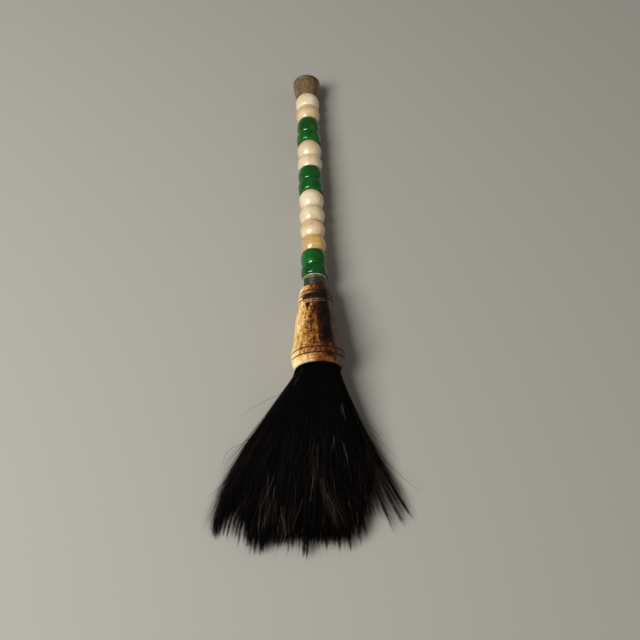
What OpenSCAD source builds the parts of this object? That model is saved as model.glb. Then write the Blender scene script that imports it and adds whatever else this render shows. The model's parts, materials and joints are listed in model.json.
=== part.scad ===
// Calligraphy brush with a beaded handle. A turned bell-shaped ferrule holds a fanned tuft of
// black hair, and fourteen beads turn loosely on a rod between the neck collar and the end cap.
// The brush lies on the plane z = 0, resting on the ferrule's belly, the cap's rim and the hair.
// The hair points towards -Y, the handle towards +Y, and the origin is under the middle.
//
// Turned pieces are drawn upright in the brush's own axis, with the ferrule's mouth at height 0
// and the handle above it, and lay_down() then lays them on the plane.

/* [Beads] */
// Usual diameter of a cream bead
cream_d = 14.3; // [12.5:0.1:15]
// Usual length of a cream bead along the rod
cream_len = 9.8; // [9:0.1:11]
// Radius of the arc of a cream bead's side
cream_arc_r = 8; // [7:0.5:14]
// Usual diameter of a green bead
green_d = 14.3; // [12.5:0.1:15]
// Usual length of a green bead along the rod
green_len = 8.2; // [7:0.1:10]
// Radius of the arc of a green bead's side
green_arc_r = 13; // [7:0.5:16]
// Gap left between neighbouring beads, so that each one turns on its own
bead_gap = 0.1; // [0.05:0.05:0.3]
// Rounding at each end of a bead's hole
bead_hole_rounding = 0.5; // [0.3:0.1:0.8]

/* [Rod] */
// Diameter of the rod inside the handle
rod_d = 4; // [3:0.1:5]
// Radial clearance between a bead's hole and the rod
rod_clearance = 0.05; // [0.02:0.01:0.1]

/* [Ferrule] */
// Length of the ferrule, from its mouth to its neck
ferrule_len = 46.3; // [44:0.1:52]
// Diameter over the belly, the widest ring of the ferrule
belly_d = 27.6; // [25:0.2:30]
// Inside diameter of the socket that holds the hair
socket_d = 21; // [19:0.5:22]
// Depth of the socket
socket_depth = 26; // [24:1:30]
// Depth of the turned grooves
groove_depth = 0.35; // [0.2:0.05:0.5]
// Height of the two raised lines
line_height = 0.25; // [0.1:0.05:0.4]

/* [Neck collar] */
// Diameter of the neck collar
collar_d = 12; // [11:0.1:13]
// Length of the neck collar
collar_len = 5.9; // [4:0.1:7]
// Diameter of the pale ring above the collar
rim_d = 12.4; // [11.5:0.1:13]
// Thickness of the pale ring above the collar
rim_len = 0.8; // [0.6:0.1:1.2]

/* [End cap] */
// Length of the end cap
cap_len = 12.9; // [10:0.1:14]
// Diameter of the cap where it meets the first bead
cap_small_d = 12.6; // [12:0.1:14]
// Diameter of the cap's rim
cap_rim_d = 16.5; // [15:0.1:18]
// Depth of the rod's hole in the cap
cap_hole_depth = 8; // [6:0.5:9]

/* [Hair] */
// Length of the longest hair beyond the ferrule's mouth
hair_len = 90; // [80:1:100]
// Reach of the fan to the left of the brush's axis, at the tips
hair_left = 53.5; // [45:0.5:60]
// Reach of the fan to the right of the brush's axis, at the tips
hair_right = 46; // [35:0.5:50]
// Thickness of the fan at its tips
hair_tip_thickness = 7; // [5:0.5:12]
// Length of the hair's root inside the socket
root_len = 20; // [16:1:22]

/* [Hidden] */
$fn = 96;
slip = 0.05; // clearance between the hair's root and the pieces round it
rod_r = rod_d / 2;
bore_r = rod_r + rod_clearance;
socket_r = socket_d / 2;
belly_r = belly_d / 2;

// The beads in order from the end cap, C for cream and G for green
bead_order = "CCGGCCGGCCCCGG";
bead_count = len(bead_order);
// The stones are cut by hand: how much longer and wider each is than usual, in the same order
bead_longer = [-1.1, -0.4, 2.2, -1.3, 0.9, -1.4, 0.8, -0.7, 0.6, 0, 0.1, -0.4, 1.3, -2.1];
bead_wider = [0.2, 0, -0.6, 0.2, 0, 0.2, -0.1, 0.2, 0, 0.1, -0.3, 0, 0.1, 0.4];

function is_cream(i) = bead_order[i] == "C";
function bead_len(i) = (is_cream(i) ? cream_len : green_len) + bead_longer[i];
function bead_d(i) = (is_cream(i) ? cream_d : green_d) + bead_wider[i];
// How many beads of this one's colour there are up to and including it
function colour_number(i) = len([for (k = [0:i]) if (bead_order[k] == bead_order[i]) k]);
function bead_name(i) = str(is_cream(i) ? "cream_bead_" : "green_bead_", colour_number(i));
// Length of the stack of beads nearer to the ferrule than bead i
function stack_below(i) = i >= bead_count - 1 ? 0 : bead_len(i + 1) + stack_below(i + 1);

// Heights along the brush's axis, from the ferrule's mouth
rim_z = ferrule_len + collar_len;
beads_z = rim_z + rim_len;
cap_z = beads_z + bead_len(0) + stack_below(0);
cap_end_z = cap_z + cap_len;
rod_start_z = socket_depth - 4;
rod_end_z = cap_z + cap_hole_depth;

// The ferrule's outline, [height / length, radius / belly radius], from the mouth to the neck
bell = [
    [0.000, 0.850], [0.014, 0.908], [0.042, 0.953], [0.085, 0.986], [0.119, 1.000], [0.140, 1.000],
    [0.184, 0.994], [0.216, 0.975], [0.248, 0.942], [0.287, 0.906], [0.335, 0.884], [0.430, 0.855],
    [0.529, 0.821], [0.620, 0.780], [0.700, 0.736], [0.790, 0.683], [0.851, 0.663], [0.900, 0.639],
    [0.940, 0.609], [0.970, 0.569], [0.989, 0.522], [1.000, 0.467]
];
belly_z = 0.140 * ferrule_len; // the end of the belly's flat ring nearer to the handle
groove_z = [0.093, 0.160, 0.795, 0.852, 0.900, 0.982] * ferrule_len;
line_z = [0.746, 0.772] * ferrule_len;
collar_groove_z = [0.2, 0.45, 0.7] * collar_len;
cap_ring_z = cap_len - 1.7; // from the cap's smaller end
cap_rounding = 0.7;

// How the brush lies: its axis dips towards the cap, so that belly and cap rim both touch z = 0
cap_contact_z = cap_end_z - cap_rounding;
tilt = atan((belly_d - cap_rim_d) / 2 / (cap_contact_z - belly_z));
mouth_h = belly_r * cos(tilt) + belly_z * sin(tilt);
centre_x = (hair_left - hair_right) / 2;
centre_y = (hair_len - cap_end_z * cos(tilt)) / 2;

// The hair's outline: control points of the left edge, the middle and the right edge of the fan,
// [reach beyond the mouth, offset from the axis]
root_r = socket_r - slip;
left_edge = [[0, -root_r], [22, -26], [56, -52.5], [hair_len - 9, -hair_left]];
fan_middle = [[0, 0], [28, -2], [60, -6], [hair_len, -8]];
right_edge = [[0, root_r], [25, 19], [50, 29], [hair_len - 13.5, hair_right]];
// The root, [height above the mouth, radius], with a waist for the binding
binding_z = [9.5, 13.5];
waist_r = root_r - 1;
root_rings = [
    [root_len, root_r], [binding_z[1] + 0.5, root_r], [binding_z[1], waist_r],
    [binding_z[0], waist_r], [binding_z[0] - 0.5, root_r], [1, root_r]
];
hair_sides = 32;
hair_steps = 16;

function bead_names() = [for (i = [0:bead_count - 1]) bead_name(i)];

// Lays a piece drawn upright along the brush's axis on the plane
module lay_down() {
    translate([centre_x, centre_y, mouth_h]) rotate([-90 - tilt, 0, 0]) children();
}

// Radius of the bell at a height above the mouth
function bell_r(z) = lookup(z / ferrule_len, bell) * belly_r;

// Points along the bulged side of a bead, from its lower end to its upper end
function bead_side(r, arc_r, half) =
    let (end_angle = asin(half / arc_r), steps = 14)
    [for (k = [0:steps]) let (a = end_angle * (2 * k / steps - 1))
        [r - arc_r + arc_r * cos(a), arc_r * sin(a)]];

module bead(i) {
    long = bead_len(i);
    r = bead_d(i) / 2;
    arc_r = is_cream(i) ? cream_arc_r : green_arc_r;
    half = (long - bead_gap) / 2;
    color(is_cream(i) ? "antiquewhite" : "darkgreen")
    lay_down() translate([0, 0, beads_z + stack_below(i) + long / 2]) rotate_extrude()
    difference() {
        polygon(concat([[bore_r, -half]], bead_side(r, arc_r, half), [[bore_r, half]]));
        // rounded mouths of the hole
        for (side = [-1, 1]) translate([bore_r, side * half]) circle(bead_hole_rounding);
    }
}

module core_rod() {
    color("burlywood")
    lay_down() translate([0, 0, rod_start_z]) cylinder(h = rod_end_z - rod_start_z, r = rod_r);
}

// The cap's side swells a little between its smaller end and its rim
module end_cap() {
    small_r = cap_small_d / 2;
    rim_r = cap_rim_d / 2;
    color("saddlebrown")
    lay_down() translate([0, 0, cap_z]) rotate_extrude() difference() {
        polygon([
            [0, bead_gap], [small_r - 0.3, bead_gap], [small_r, bead_gap + 0.3],
            [small_r + 0.95, 0.25 * cap_len], [small_r + 1.6, 0.5 * cap_len],
            [rim_r - 0.1, 0.75 * cap_len], [rim_r, cap_ring_z], [rim_r, cap_len - cap_rounding],
            [rim_r - 0.25, cap_len - 0.25], [rim_r - cap_rounding, cap_len], [0, cap_len]
        ]);
        translate([rim_r, cap_ring_z - 0.1]) circle(groove_depth);
        translate([-1, -1]) square([1 + rod_r, 1 + cap_hole_depth]);
    }
}

module collar_rim() {
    color("darkkhaki")
    lay_down() translate([0, 0, rim_z]) rotate_extrude() translate([rod_r, 0]) {
        square([rim_d / 2 - rod_r - rim_len / 2, rim_len - bead_gap]);
        translate([rim_d / 2 - rod_r - rim_len / 2, (rim_len - bead_gap) / 2])
        circle((rim_len - bead_gap) / 2);
    }
}

module neck_collar() {
    color("dimgray")
    lay_down() translate([0, 0, ferrule_len]) rotate_extrude() difference() {
        translate([rod_r, 0]) square([collar_d / 2 - rod_r, collar_len]);
        for (z = collar_groove_z) translate([collar_d / 2, z]) circle(groove_depth);
    }
}

module ferrule() {
    color("peru")
    lay_down() rotate_extrude() difference() {
        union() {
            polygon(concat(
                [[rod_r, ferrule_len], [rod_r, 0.8], [socket_r, 0.8], [socket_r + 0.35, 0.2]],
                [for (p = bell) [p[1] * belly_r, p[0] * ferrule_len]]
            ));
            for (z = line_z) translate([bell_r(z), z]) circle(line_height);
        }
        for (z = groove_z) translate([bell_r(z), z]) circle(groove_depth);
        translate([0, -1]) square([socket_r, 1 + socket_depth]);
    }
}

module root_resin() {
    color("goldenrod")
    lay_down() translate([0, 0, root_len + slip]) difference() {
        cylinder(h = socket_depth - root_len - slip, r = socket_r);
        translate([0, 0, rod_start_z - root_len - slip]) cylinder(h = socket_depth, r = rod_r);
    }
}

// Turns of thread side by side round the waist of the hair's root
module root_binding() {
    turns = 5;
    pitch = (binding_z[1] - binding_z[0] - 2 * slip) / turns;
    thread_r = pitch / 2;
    band_r = waist_r + slip;
    color("firebrick")
    lay_down() translate([0, 0, binding_z[0] + slip]) rotate_extrude() {
        translate([band_r, 0]) square([thread_r, turns * pitch]);
        for (t = [0:turns - 1]) translate([band_r + thread_r, (t + 0.5) * pitch]) circle(thread_r);
    }
}

function bezier(p, t) =
    pow(1 - t, 3) * p[0] + 3 * pow(1 - t, 2) * t * p[1] + 3 * (1 - t) * t * t * p[2] + pow(t, 3) * p[3];
// Blends the left, middle and right control point k across the fan, u from -1 to 1
function across(k, u) =
    fan_middle[k] + u * (right_edge[k] - left_edge[k]) / 2
    + u * u * ((right_edge[k] + left_edge[k]) / 2 - fan_middle[k]);
// Heights of the four control points of the hair at (u, w) of the round root, w from -1 to 1
function hair_heights(u, w) =
    let (dome = w + sqrt(max(0, 1 - u * u)))
    [mouth_h + root_r * w, 12.5 + 11.5 * w - 4 * u * u, 8.5 * dome, hair_tip_thickness / 2 * dome];
// A point of the tuft's skin, on the plane's own axes, at angle a and a share t of the hair's length
function skin_point(a, t) =
    let (u = cos(a), w = sin(a))
    let (plan = bezier([for (k = [0:3]) k == 0 ? [0, root_r * u] : across(k, u)], t))
    [centre_x + plan[1], centre_y - plan[0], bezier(hair_heights(u, w), t)];
// A point of the root, laid down with the brush's axis
function root_point(a, z, r) = [
    centre_x + r * cos(a),
    centre_y + z * cos(tilt) + r * sin(a) * sin(tilt),
    mouth_h - z * sin(tilt) + r * sin(a) * cos(tilt)
];

module hair_tuft() {
    rings = concat(
        [for (ring = root_rings) [for (k = [0:hair_sides - 1])
            root_point(k * 360 / hair_sides, ring[0], ring[1])]],
        [for (s = [0:hair_steps]) [for (k = [0:hair_sides - 1])
            skin_point(k * 360 / hair_sides, s / hair_steps)]]
    );
    last = len(rings) - 1;
    tip_middle = (rings[last][hair_sides / 4] + rings[last][hair_sides * 3 / 4]) / 2;
    points = concat([for (ring = rings) each ring], [tip_middle]);
    sides = [for (j = [0:last - 1]) for (k = [0:hair_sides - 1])
        let (a = j * hair_sides + k, b = j * hair_sides + (k + 1) % hair_sides)
        each [[a, a + hair_sides, b + hair_sides], [a, b + hair_sides, b]]];
    root_face = [[for (k = [0:hair_sides - 1]) k]];
    tip_faces = [for (k = [0:hair_sides - 1])
        [last * hair_sides + (k + 1) % hair_sides, last * hair_sides + k, len(points) - 1]];
    color([0.09, 0.08, 0.08])
    polyhedron(points, concat(sides, root_face, tip_faces), convexity = 4);
}

core_rod();
end_cap();
for (i = [0:bead_count - 1]) bead(i);
collar_rim();
neck_collar();
ferrule();
root_resin();
root_binding();
hair_tuft();
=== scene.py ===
"""Looks of the beaded calligraphy brush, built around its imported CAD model.

A turned piece is drawn in the brush's own axis, in millimetres: a height above the ferrule's mouth,
a radius, and an angle that is 0 towards the brush's right side (+X) and a quarter turn on its top.
Hair is drawn in millimetres as reach beyond the mouth, offset from the axis and height above the
plane that the brush lies on. Blender's objects are in metres, in the frame of the CAD model.
"""

import json
import math

import bpy
import numpy as np
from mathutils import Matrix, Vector, noise


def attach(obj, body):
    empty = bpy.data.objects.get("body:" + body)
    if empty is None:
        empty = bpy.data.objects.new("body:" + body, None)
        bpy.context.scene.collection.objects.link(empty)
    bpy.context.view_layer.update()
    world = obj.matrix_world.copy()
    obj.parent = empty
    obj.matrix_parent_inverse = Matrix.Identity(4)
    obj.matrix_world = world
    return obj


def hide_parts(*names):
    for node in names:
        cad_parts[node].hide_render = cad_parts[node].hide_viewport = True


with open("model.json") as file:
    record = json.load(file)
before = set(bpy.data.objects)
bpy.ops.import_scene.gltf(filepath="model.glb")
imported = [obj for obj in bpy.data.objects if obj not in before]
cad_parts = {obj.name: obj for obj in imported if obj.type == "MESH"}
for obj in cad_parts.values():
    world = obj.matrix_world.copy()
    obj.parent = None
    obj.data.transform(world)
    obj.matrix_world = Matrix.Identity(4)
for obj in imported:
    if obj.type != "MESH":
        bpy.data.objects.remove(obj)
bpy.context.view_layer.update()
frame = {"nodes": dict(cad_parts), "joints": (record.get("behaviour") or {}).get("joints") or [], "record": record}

MM = 0.001
joint_of = {joint["child"]: joint for joint in frame["joints"]}
mount_of = {mount["name"]: mount for mount in frame["record"]["mounts"]}

# ---- the brush's own axis

SIDE = Vector((1, 0, 0))
AXIS = Vector(joint_of["cream_bead_1"]["axis"]).normalized()
UP = SIDE.cross(AXIS)
DIP = math.atan2(-AXIS.z, AXIS.y)
BASIS = np.array([SIDE, UP, AXIS])


def on_axis(node, origin):
    """A CAD node's lowest and highest point along the brush's axis from origin, and its radius, in mm."""
    mesh = frame["nodes"][node].data
    points = np.empty(len(mesh.vertices) * 3)
    mesh.vertices.foreach_get("co", points)
    points = (points.reshape(-1, 3) - np.array(origin)) / MM
    height = points @ np.array(AXIS)
    radius = np.linalg.norm(points - height[:, None] * np.array(AXIS), axis=1)
    return float(height.min()), float(height.max()), float(radius.max())


cap_end = Vector(mount_of["cap_end"]["pos_m"])
CAP_END = -on_axis("ferrule", cap_end)[0]
MOUTH = cap_end - AXIS * CAP_END * MM
FERRULE_TOP = on_axis("ferrule", MOUTH)[1]
COLLAR_TOP = on_axis("neck_collar", MOUTH)[1]
RIM_TOP = on_axis("collar_rim", MOUTH)[1]
CAP_START = on_axis("end_cap", MOUTH)[0]


def to_row(points_mm):
    """Points (right, up, height) in millimetres on the brush's own axis, in the row frame."""
    return np.asarray(points_mm, float) @ BASIS * MM + np.array(MOUTH)


# ---- meshes


def new_piece(name, points, faces, materials, face_material=None):
    """A smooth-shaded mesh object in the row frame, from arrays of faces with 3 or 4 corners."""
    mesh = bpy.data.meshes.new(name)
    faces = [np.asarray(part, np.int64) for part in faces]
    sizes = np.concatenate([np.full(len(part), part.shape[1]) for part in faces])
    corners = np.concatenate([part.ravel() for part in faces])
    mesh.vertices.add(len(points))
    mesh.vertices.foreach_set("co", np.asarray(points, np.float32).ravel())
    mesh.loops.add(len(corners))
    mesh.loops.foreach_set("vertex_index", corners.astype(np.int32))
    mesh.polygons.add(len(sizes))
    mesh.polygons.foreach_set("loop_start", (np.cumsum(sizes) - sizes).astype(np.int32))
    for material in materials:
        mesh.materials.append(material)
    if face_material is not None:
        mesh.polygons.foreach_set("material_index", np.asarray(face_material, np.int32))
    mesh.update(calc_edges=True)
    mesh.validate()
    mesh.shade_smooth()
    piece = bpy.data.objects.new(name, mesh)
    bpy.context.scene.collection.objects.link(piece)
    return piece


def smooth_curve(points, step):
    """A Catmull-Rom curve through the points, resampled about every step."""
    p = np.asarray(points, float)
    p = np.vstack([2 * p[0] - p[1], p, 2 * p[-1] - p[-2]])
    t = np.linspace(0, 1, 24, endpoint=False)[:, None]
    dense = [
        0.5 * (2 * b + (c - a) * t + (2 * a - 5 * b + 4 * c - d) * t**2 + (3 * b - a - 3 * c + d) * t**3)
        for a, b, c, d in zip(p, p[1:], p[2:], p[3:])
    ]
    dense = np.vstack([*dense, p[-2:-1]])
    along = np.concatenate([[0], np.cumsum(np.linalg.norm(np.diff(dense, axis=0), axis=1))])
    at = np.linspace(0, along[-1], max(2, round(along[-1] / step) + 1))
    return np.column_stack([np.interp(at, along, column) for column in dense.T])


def arc(centre, radius, start, end, steps):
    """Points of an arc, its angles in degrees."""
    angle = np.radians(np.linspace(start, end, steps))
    return np.column_stack([centre[0] + radius * np.cos(angle), centre[1] + radius * np.sin(angle)])


def turned(name, outline, segments, materials, relief=None, closed=True):
    """Turns an outline of [radius, height] rows about the brush's axis.

    A closed outline goes once round the wall of a piece with a hole. An open one starts and ends on
    the axis. relief(points, outward) gives how far each point moves along its outward normal.
    """
    outline = np.asarray(outline, float)
    rows = len(outline)
    if closed:
        tangent = np.roll(outline, -1, axis=0) - np.roll(outline, 1, axis=0)
    else:
        tangent = np.gradient(outline, axis=0)
    outward = np.column_stack([tangent[:, 1], -tangent[:, 0]])
    outward /= np.maximum(np.linalg.norm(outward, axis=1), 1e-9)[:, None]
    angle = np.arange(segments) * 2 * math.pi / segments
    cos, sin = np.cos(angle), np.sin(angle)
    shape = (rows, segments)
    radius = outline[:, :1]
    points = np.stack([radius * cos, radius * sin, np.broadcast_to(outline[:, 1:], shape)], axis=2)
    if relief is not None:
        normal = np.stack([
            outward[:, :1] * cos, outward[:, :1] * sin, np.broadcast_to(outward[:, 1:], shape),
        ], axis=2)
        push = relief(points.reshape(-1, 3), np.repeat(outward, segments, axis=0)).reshape(shape)
        points = points + normal * push[:, :, None]
    if closed:
        return new_piece(name, to_row(points.reshape(-1, 3)), [bands(rows, segments, True)], materials)
    middle = points[1:-1].reshape(-1, 3)
    ends = [[0, 0, outline[0, 1]], [0, 0, outline[-1, 1]]]
    faces = [bands(rows - 2, segments, False), *fans(rows - 2, segments)]
    return new_piece(name, to_row(np.vstack([middle, ends])), faces, materials)


def bands(rows, columns, closed):
    """Quads between rows of points that each go round, and from the last row to the first if closed."""
    row = np.arange(rows if closed else rows - 1)[:, None]
    column = np.arange(columns)[None, :]
    next_row, next_column = (row + 1) % rows, (column + 1) % columns
    return np.stack([
        row * columns + column, row * columns + next_column,
        next_row * columns + next_column, next_row * columns + column,
    ], axis=2).reshape(-1, 4)


def fans(rows, columns):
    """Triangles that close the first and the last row with the two points after all the rows."""
    ring = np.arange(columns)
    following = (ring + 1) % columns
    first, last, top = rows * columns, rows * columns + 1, (rows - 1) * columns
    return (
        np.column_stack([following, ring, np.full(columns, first)]),
        np.column_stack([top + ring, top + following, np.full(columns, last)]),
    )


def show(piece, body, slot, *nodes):
    """The piece rides on the body and stands for the CAD nodes. Its slot is not used."""
    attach(piece, body)
    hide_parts(*nodes)


# ---- materials


def srgb(red, green, blue):
    """A colour given as 0 to 255 on a screen, as the linear colour that a shader takes."""
    channels = [c / 255 for c in (red, green, blue)]
    return (*[c / 12.92 if c <= 0.04045 else ((c + 0.055) / 1.055) ** 2.4 for c in channels], 1.0)


class Look:
    """A material whose node tree is written as expressions."""

    def __init__(self, name, roughness, coat=0.0, coat_roughness=0.05, subsurface=0.0, radius_mm=(1, 1, 1)):
        self.material = bpy.data.materials.new(name)
        self.material.use_nodes = True
        self.tree = self.material.node_tree
        self.shader = self.tree.nodes["Principled BSDF"]
        self.set("Roughness", roughness)
        self.set("Coat Weight", coat)
        self.set("Coat Roughness", coat_roughness)
        if subsurface:
            self.set("Subsurface Weight", subsurface)
            self.set("Subsurface Radius", radius_mm)
            self.set("Subsurface Scale", MM)

    def set(self, name, value):
        self.feed(self.shader.inputs[name], value)

    def feed(self, socket, value):
        if isinstance(value, bpy.types.NodeSocket):
            self.tree.links.new(value, socket)
        else:
            socket.default_value = value

    def add(self, kind, inputs, output=0, **settings):
        node = self.tree.nodes.new("ShaderNode" + kind)
        for key, value in settings.items():
            setattr(node, key, value)
        for key, value in inputs.items():
            self.feed(node.inputs[key], value)
        return node.outputs[output]

    def place(self, height_mm=0.0, turn=0.0):
        """Coordinates in millimetres on the brush's axis: x right, y down, z above height_mm."""
        place = self.add("TexCoord", {}, output=3)
        place = self.add("Mapping", {
            "Vector": place, "Location": MOUTH + AXIS * height_mm * MM,
            "Rotation": (-math.pi / 2 - DIP, 0, 0), "Scale": (MM, MM, MM),
        }, vector_type="TEXTURE")
        if turn:
            place = self.add("Mapping", {"Vector": place, "Rotation": (0, 0, turn)})
        return place

    def stretch(self, place, x=1.0, y=1.0, z=1.0, shift=(0, 0, 0)):
        return self.add("Mapping", {"Vector": place, "Scale": (x, y, z), "Location": shift})

    def math(self, operation, a, b=0.0):
        return self.add("Math", {0: a, 1: b}, operation=operation)

    def times(self, a, b):
        return self.math("MULTIPLY", a, b)

    def weigh(self, *terms):
        """The sum of (value, weight) terms."""
        total = 0.0
        for value, weight in terms:
            total = self.add("Math", {0: value, 1: weight, 2: total}, operation="MULTIPLY_ADD")
        return total

    def axes(self, place):
        node = self.tree.nodes.new("ShaderNodeSeparateXYZ")
        self.feed(node.inputs[0], place)
        return node.outputs

    def noise(self, place, scale, detail=3.0, roughness=0.55, distortion=0.0, **stretch):
        if stretch:
            place = self.stretch(place, **stretch)
        return self.add("TexNoise", {"Vector": place, "Scale": scale, "Detail": detail,
                                     "Roughness": roughness, "Distortion": distortion})

    def step(self, value, low, high, to_low=0.0, to_high=1.0):
        """Goes smoothly from to_low to to_high as value goes from low to high."""
        return self.add("MapRange", {"Value": value, "From Min": low, "From Max": high,
                                     "To Min": to_low, "To Max": to_high},
                        interpolation_type="SMOOTHSTEP")

    def near(self, value, target, inner, outer, weight=1.0):
        """Is weight within inner of the target, and 0 beyond outer."""
        off = self.math("ABSOLUTE", self.math("SUBTRACT", value, target))
        return self.step(off, inner, outer, weight, 0.0)

    def mix(self, factor, a, b):
        """A mix of two colours, each from a node or given as red, green and blue from 0 to 255."""
        a, b = (c if isinstance(c, bpy.types.NodeSocket) else srgb(*c) for c in (a, b))
        return self.add("Mix", {0: factor, 6: a, 7: b}, output=2, data_type="RGBA")

    def ramp(self, value, *stops):
        """A colour ramp with stops of (position, red, green, blue)."""
        node = self.tree.nodes.new("ShaderNodeValToRGB")
        while len(node.color_ramp.elements) < len(stops):
            node.color_ramp.elements.new(0.5)
        for element, (position, *colour) in zip(node.color_ramp.elements, stops):
            element.position = position
            element.color = srgb(*colour)
        self.feed(node.inputs[0], value)
        return node.outputs[0]

    def bump(self, height, distance_mm, strength=1.0, normal=None):
        inputs = {"Height": height, "Distance": distance_mm * MM, "Strength": strength}
        if normal is not None:
            inputs["Normal"] = normal
        return self.add("Bump", inputs)

    def finish(self, colour, roughness, normal):
        self.set("Base Color", colour)
        self.set("Roughness", roughness)
        self.set("Normal", normal)
        return self.material

    def finish_with(self, cloud, low, high, rough, relief_mm):
        """Finishes with two colours, two roughnesses and a little relief, all from one noise."""
        roughness = self.step(cloud, 0.3, 0.7, *rough)
        return self.finish(self.ramp(cloud, low, high), roughness, self.bump(cloud, relief_mm))


# How far each cream bead, from the end cap on, leans from ivory towards peach
PEACH = (0.0, 0.9, 0.45, 0.35, 0.2, 0.3, 0.8)


def cream_look(number, height_mm):
    """Polished cream stone: cloudy, a little translucent, with faint veins that differ by bead."""
    look = Look(f"cream_bead_{number}", 0.25, coat=0.5, coat_roughness=0.24, subsurface=0.25,
                radius_mm=(1.8, 1.4, 0.9))
    place = look.place(height_mm, turn=number * 1.7)
    shifted = look.stretch(place, shift=(number * 13.1, number * 7.7, 0))
    cloud = look.noise(shifted, 0.13, detail=4, distortion=0.6)
    ivory = look.ramp(cloud, (0.3, 212, 192, 152), (0.5, 228, 214, 180),
                      (0.7, 238, 228, 202))
    peach = look.ramp(cloud, (0.3, 198, 164, 118), (0.5, 214, 186, 144),
                      (0.7, 226, 204, 170))
    colour = look.mix(PEACH[number - 1], ivory, peach)
    blush = look.step(look.noise(shifted, 0.2, shift=(31, 5, 9)), 0.48, 0.7, 0.0, 0.4)
    colour = look.mix(blush, colour, (216, 176, 142))
    vein = look.noise(shifted, 0.22, z=0.5, detail=6, distortion=2.2)
    colour = look.mix(look.near(vein, 0.5, 0.0, 0.025, 0.2), colour, (176, 134, 80))
    axes = look.axes(look.place(height_mm))
    if number == 7:  # an amber streak slants across the end nearer to bead 6, on the right
        level = look.weigh((axes[2], 1.0), (axes[0], 0.32), (look.noise(place, 0.35), 1.6))
        streak = look.times(look.near(level, 5.2, 0.2, 1.5), look.step(axes[0], -2.5, 2.0))
        colour = look.mix(look.times(streak, 0.8), colour, (188, 138, 66))
    rough = look.step(look.noise(shifted, 1.3), 0.3, 0.75, 0.22, 0.4)
    return look.finish(colour, rough, look.bump(look.noise(shifted, 0.9, detail=5), 0.012))


def amber_look(height_mm):
    """The eighth cream bead: amber, with fine rings across the brush's axis."""
    look = Look("amber_bead", 0.22, coat=1.0, coat_roughness=0.1, subsurface=0.25,
                radius_mm=(1.8, 1.2, 0.6))
    place = look.place(height_mm)
    x, _, z = look.axes(place)
    lines = look.math("SINE", look.weigh((z, 6.6), (look.noise(place, 0.25, detail=3), 9.0)))
    wide = look.noise(place, 0.4, x=0.25, y=0.25, detail=3)
    colour = look.ramp(wide, (0.32, 222, 188, 118), (0.5, 206, 166, 88),
                       (0.7, 222, 194, 136))
    colour = look.mix(look.step(lines, 0.0, 1.0, 0.0, 0.35), colour, (178, 130, 62))
    # painted sheen: paler towards the brush's left side, which faces the light, and towards its right edge
    colour = look.mix(look.step(x, -6.0, -1.5, 0.85, 0.0), colour, (184, 160, 114))
    colour = look.mix(look.step(x, 3.0, 6.5, 0.0, 0.6), colour, (196, 172, 128))
    rough = look.step(wide, 0.3, 0.7, 0.16, 0.28)
    return look.finish(colour, rough, look.bump(look.noise(place, 0.9, detail=5), 0.012))


def green_look(number, height_mm):
    """Deep green glassy stone, softly clouded, under a clear polish."""
    look = Look(f"green_bead_{number}", 0.2, coat=1.0, coat_roughness=0.17, subsurface=0.1,
                radius_mm=(0.3, 1.6, 0.5))
    look.set("Specular IOR Level", 0.05)
    look.set("Coat IOR", 1.7)
    place = look.place(height_mm, turn=number * 2.3)
    shifted = look.stretch(place, shift=(number * 9.7, 3.0, number * 4.1))
    cloud = look.noise(shifted, 0.12, detail=2, distortion=0.8)
    colour = look.ramp(cloud, (0.3, 0, 60, 6), (0.5, 0, 80, 14), (0.7, 2, 98, 28))
    wisp = look.noise(shifted, 0.25, z=0.45, detail=4, distortion=1.8)
    colour = look.mix(look.near(wisp, 0.52, 0.0, 0.04, 0.25), colour, (18, 112, 46))
    # painted shade: darker green towards the brush's right side, away from the light
    colour = look.mix(look.step(look.axes(place)[0], 1.0, 6.5, 0.0, 0.5), colour, (0, 52, 6))
    if number == 1:  # an olive patch low on its right
        off = look.add("VectorMath", {0: look.place(height_mm), 1: (3.0, -5.6, -3.3)},
                       output=1, operation="DISTANCE")
        off = look.weigh((off, 1.0), (look.noise(place, 0.5), 1.8))
        colour = look.mix(look.step(off, 1.6, 4.8, 0.7, 0.0), colour, (58, 88, 12))
    return look.finish(colour, look.step(cloud, 0.3, 0.7, 0.12, 0.24),
                       look.bump(look.noise(shifted, 0.6, detail=2), 0.004))


# The ferrule's turned grooves, as height above the mouth, depth and half width, and the heights of
# its raised lines
FERRULE_GROOVES = ((4.3, 0.42, 0.45), (7.4, 0.42, 0.45), (36.8, 0.34, 0.45), (39.5, 0.38, 0.5),
                   (41.7, 0.34, 0.45), (45.5, 0.36, 0.4))
RAISED_LINES = (34.55, 35.75)


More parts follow.
